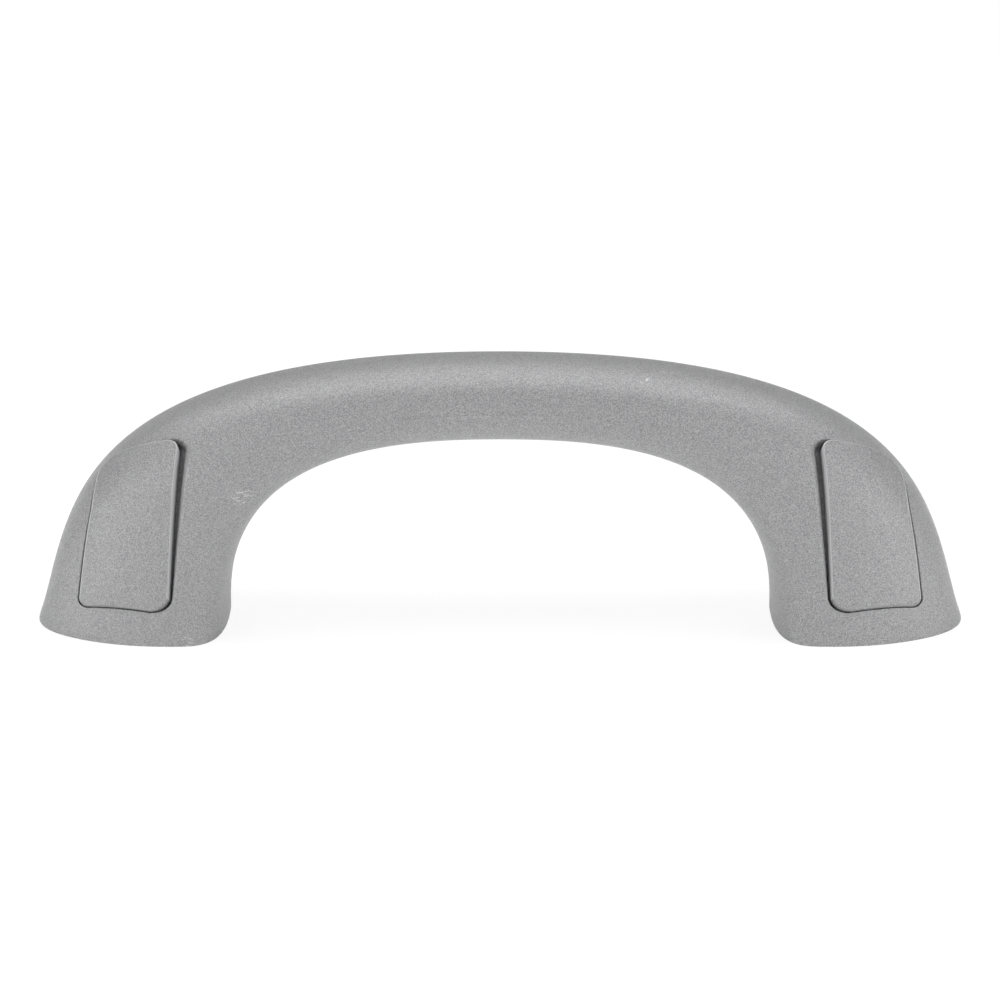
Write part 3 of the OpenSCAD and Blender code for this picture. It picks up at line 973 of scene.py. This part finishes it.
class GRAB_OT_stage(bpy.types.Operator):
    """Pale floor, soft studio light and the camera"""

    bl_idname = "grab_handle.stage"
    bl_label = "Studio"

    def execute(self, context):
        scene = context.scene
        scene.view_settings.view_transform = "Standard"
        reach = FLOOR_HALF / MM
        corners = [(-reach, -reach, 0), (reach, -reach, 0), (reach, reach, 0), (-reach, reach, 0)]
        floor = new_object("floor", corners, [(0, 1, 2, 3)])
        give_materials(floor, floor_finish())
        # The sky is white to the camera and gives no light
        world = bpy.data.worlds.new("studio")
        scene.world = world
        world.use_nodes = True
        tree = world.node_tree
        tree.nodes.clear()
        path = add_node(tree, "ShaderNodeLightPath")
        sky = add_node(
            tree, "ShaderNodeBackground", None, Color=WHITE, Strength=path.outputs["Is Camera Ray"])
        add_node(tree, "ShaderNodeOutputWorld", None, Surface=sky.outputs[0])
        for name, (azimuth, elevation, watts) in LAMPS.items():
            data = bpy.data.lights.new(name, "AREA")
            data.shape = "DISK"
            data.size = LAMP_SIZE
            data.energy = watts
            look_from(bpy.data.objects.new(name, data), LAMP_TARGET, azimuth, elevation, LAMP_AWAY)
        camera_data = bpy.data.cameras.new("camera")
        camera_data.lens = CAMERA_LENS
        camera_data.sensor_width = CAMERA_SENSOR
        camera_data.shift_x, camera_data.shift_y = CAMERA_SHIFT
        scene.camera = bpy.data.objects.new("camera", camera_data)
        handle, _, _ = props()
        target = (0, handle.grip_setback * MM, CAMERA_TARGET_Z)
        look_from(scene.camera, target, 0, CAMERA_ELEVATION, CAMERA_AWAY)
        return {"FINISHED"}


class GRAB_OT_body(bpy.types.Operator):
    """Moulded arch with its feet, pockets, trunnion bores and cored underside"""

    bl_idname = "grab_handle.body"
    bl_label = "Handle body"

    def execute(self, context):
        half = new_object("moulded_handle", *make_body_half())
        tidy_mesh(half)
        add_mirrored(half)
        for make in (foot_core, screw_pocket, swing_room):
            cutter = make()
            combine(half, mirrored(cutter, "twin"), "DIFFERENCE")
            bpy.data.objects.remove(cutter)
        bore = upright(
            "bore", -LEG_X, 0, SLEEVE_R + SLEEVE_CLEARANCE, -OVERSHOOT, FLOOR_Z + 2 * OVERSHOOT)
        combine(half, bore, "DIFFERENCE")
        keep_left(half)
        add_mirrored(half)
        soften(half)
        give_materials(half, grained_plastic("moulded_grained_polypropylene", 0.0))
        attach(half, HANDLE_BODY)
        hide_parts("handle_body")
        return {"FINISHED"}


class GRAB_OT_covers(bpy.types.Operator):
    """Flip covers with softened edges, rims and trunnions"""

    bl_idname = "grab_handle.covers"
    bl_label = "Screw covers"

    def execute(self, context):
        _, c, _ = props()
        outline = cover_outline()
        normal = outward(outline)
        radius = edge_radius(c, normal)
        right = new_object("right_flip_cover", *make_cover(c, outline, normal, radius))
        tidy_mesh(right)
        combine(right, cover_ribs(c), "UNION")
        for side in (-1, 1):
            near, far = sorted((side * ARM_OFFSET, side * (ARM_OFFSET + ARM_WALL)))
            tip = sorted((side * (ARM_OFFSET + ARM_WALL / 2), side * (POCKET_HALF + PIN_SEAT)))
            combine(right, across_hinge("arm", ARM_R, near, far), "UNION")
            neck = box("arm", (near, -ARM_REACH, -ARM_NECK), (far, 0, ARM_NECK), from_hinge)
            combine(right, neck, "UNION")
            combine(right, across_hinge("pin", PIN_R, *tip), "UNION")
        soften(right)
        give_materials(right, grained_plastic("moulded_grained_cover", 0.7), edge_highlight_finish())
        # The cover's edge, all round but its foot, gets the paler grey of a painted highlight
        paint_edge_highlight(right, outline, np.where(normal[:, 1] > HIGHLIGHT_ABOVE, HIGHLIGHT_SHARE * radius, 0.0))
        left = mirrored(right, "left_flip_cover")
        for obj, side in zip((left, right), SIDES):
            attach(obj, f"{side}_cover")
            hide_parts(f"{side}_screw_cover")
        return {"FINISHED"}


class GRAB_OT_sleeves(bpy.types.Operator):
    """Finish of the two compression sleeves"""

    bl_idname = "grab_handle.sleeves"
    bl_label = "Fixing sleeves"

    def execute(self, context):
        steel = plated_steel()
        for side in SIDES:
            give_materials(frame["nodes"][f"{side}_fixing_sleeve"], steel)
        return {"FINISHED"}


class GRAB_PT_panel(bpy.types.Panel):
    """Sizes, colours and build steps of the grab handle"""

    bl_label = "Roof grab handle"
    bl_idname = "GRAB_PT_panel"
    bl_space_type = "VIEW_3D"
    bl_region_type = "UI"
    bl_category = "Grab handle"

    def draw(self, context):
        for group in props():
            box_ui = self.layout.box()
            for key in group.__annotations__:
                box_ui.prop(group, key)
        for operator in OPERATORS:
            self.layout.operator(operator.bl_idname)


OPERATORS = (GRAB_OT_stage, GRAB_OT_body, GRAB_OT_covers, GRAB_OT_sleeves)
CLASSES = (HandleSizes, CoverSizes, FinishColours) + OPERATORS + (GRAB_PT_panel,)


def register():
    for cls in CLASSES:
        bpy.utils.register_class(cls)
    bpy.types.Scene.handle_sizes = bpy.props.PointerProperty(type=HandleSizes)
    bpy.types.Scene.cover_sizes = bpy.props.PointerProperty(type=CoverSizes)
    bpy.types.Scene.finish_colours = bpy.props.PointerProperty(type=FinishColours)


def unregister():
    del bpy.types.Scene.finish_colours
    del bpy.types.Scene.cover_sizes
    del bpy.types.Scene.handle_sizes
    for cls in reversed(CLASSES):
        bpy.utils.unregister_class(cls)


def main():
    register()
    bpy.ops.grab_handle.stage()
    bpy.ops.grab_handle.body()
    bpy.ops.grab_handle.covers()
    bpy.ops.grab_handle.sleeves()


if __name__ == "__main__":
    main()
